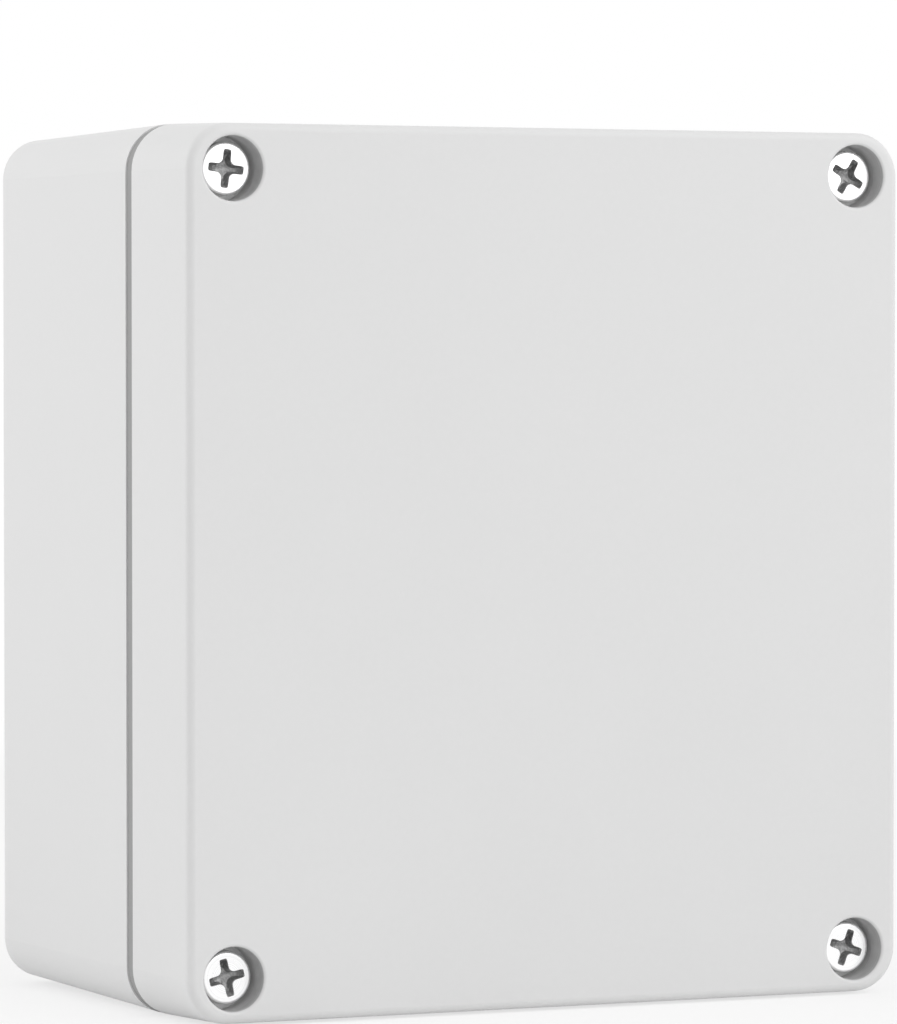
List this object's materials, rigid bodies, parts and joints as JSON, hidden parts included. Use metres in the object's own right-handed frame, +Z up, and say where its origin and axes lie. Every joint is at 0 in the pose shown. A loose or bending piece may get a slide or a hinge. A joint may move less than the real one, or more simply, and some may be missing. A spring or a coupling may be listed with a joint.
{
  "type": "waterproof enclosure",
  "caption": "Upright rectangular sealed enclosure with round corners: cast base, deep lid, grey gasket in the seam and captive cross-recess screws sunk in round recesses at the lid corners.",
  "frame": {"origin": "middle of the lower wall, half way through the depth, on the plane that the box stands on", "axes": "+Z up the box as in the picture, +Y to the wall at the back, so the lid faces -Y, and +X to the right seen from the front"},
  "size_m": [0.104, 0.065, 0.115],
  "materials": {
    "casting": "pale grey satin powder coat on cast aluminium, bare metal in the screw recesses",
    "lid_gasket": "matt mid-grey sponge rubber",
    "lid_screw": "bright plated steel",
    "screw_ring": "matt dark plastic",
    "earth_screw": "plated steel",
    "earth_washers": "plain brass"
  },
  "bodies": {
    "base": {"base_shell": "casting", "earth_screw": "earth_screw", "earth_washer": "earth_washers", "earth_lock_washer": "earth_washers"},
    "lid": {"lid_shell": "casting", "lid_gasket": "lid_gasket"},
    "ring_tl": {"screw_ring_tl": "screw_ring"},
    "screw_tl": {"lid_screw_tl": "lid_screw"},
    "ring_tr": {"screw_ring_tr": "screw_ring"},
    "screw_tr": {"lid_screw_tr": "lid_screw"},
    "ring_bl": {"screw_ring_bl": "screw_ring"},
    "screw_bl": {"lid_screw_bl": "lid_screw"},
    "ring_br": {"screw_ring_br": "screw_ring"},
    "screw_br": {"lid_screw_br": "lid_screw"}
  },
  "joints": [
    {"name": "lid_lift", "type": "slide", "parent": "base", "child": "lid", "axis": [0, -1, 0], "range_m": [0, 0.07]},
    {"name": "screw_tl_rise", "type": "slide", "parent": "lid", "child": "ring_tl", "axis": [0, -1, 0], "range_m": [0, 0.0063]},
    {"name": "screw_tl_turn", "type": "hinge", "parent": "ring_tl", "child": "screw_tl", "pos_m": [-0.04525, -0.0165, 0.1089], "axis": [0, -1, 0], "range_deg": [0, 3241]},
    {"name": "screw_tr_rise", "type": "slide", "parent": "lid", "child": "ring_tr", "axis": [0, -1, 0], "range_m": [0, 0.0063]},
    {"name": "screw_tr_turn", "type": "hinge", "parent": "ring_tr", "child": "screw_tr", "pos_m": [0.04525, -0.0165, 0.1089], "axis": [0, -1, 0], "range_deg": [0, 3241]},
    {"name": "screw_bl_rise", "type": "slide", "parent": "lid", "child": "ring_bl", "axis": [0, -1, 0], "range_m": [0, 0.0063]},
    {"name": "screw_bl_turn", "type": "hinge", "parent": "ring_bl", "child": "screw_bl", "pos_m": [-0.04525, -0.0165, 0.0061], "axis": [0, -1, 0], "range_deg": [0, 3241]},
    {"name": "screw_br_rise", "type": "slide", "parent": "lid", "child": "ring_br", "axis": [0, -1, 0], "range_m": [0, 0.0063]},
    {"name": "screw_br_turn", "type": "hinge", "parent": "ring_br", "child": "screw_br", "pos_m": [0.04525, -0.0165, 0.0061], "axis": [0, -1, 0], "range_deg": [0, 3241]}
  ],
  "couplings": [
    {"joint": "screw_tl_turn", "follows": "screw_tl_rise", "rad_per_m": 8976},
    {"joint": "screw_tr_turn", "follows": "screw_tr_rise", "rad_per_m": 8976},
    {"joint": "screw_bl_turn", "follows": "screw_bl_rise", "rad_per_m": 8976},
    {"joint": "screw_br_turn", "follows": "screw_br_rise", "rad_per_m": 8976}
  ]
}
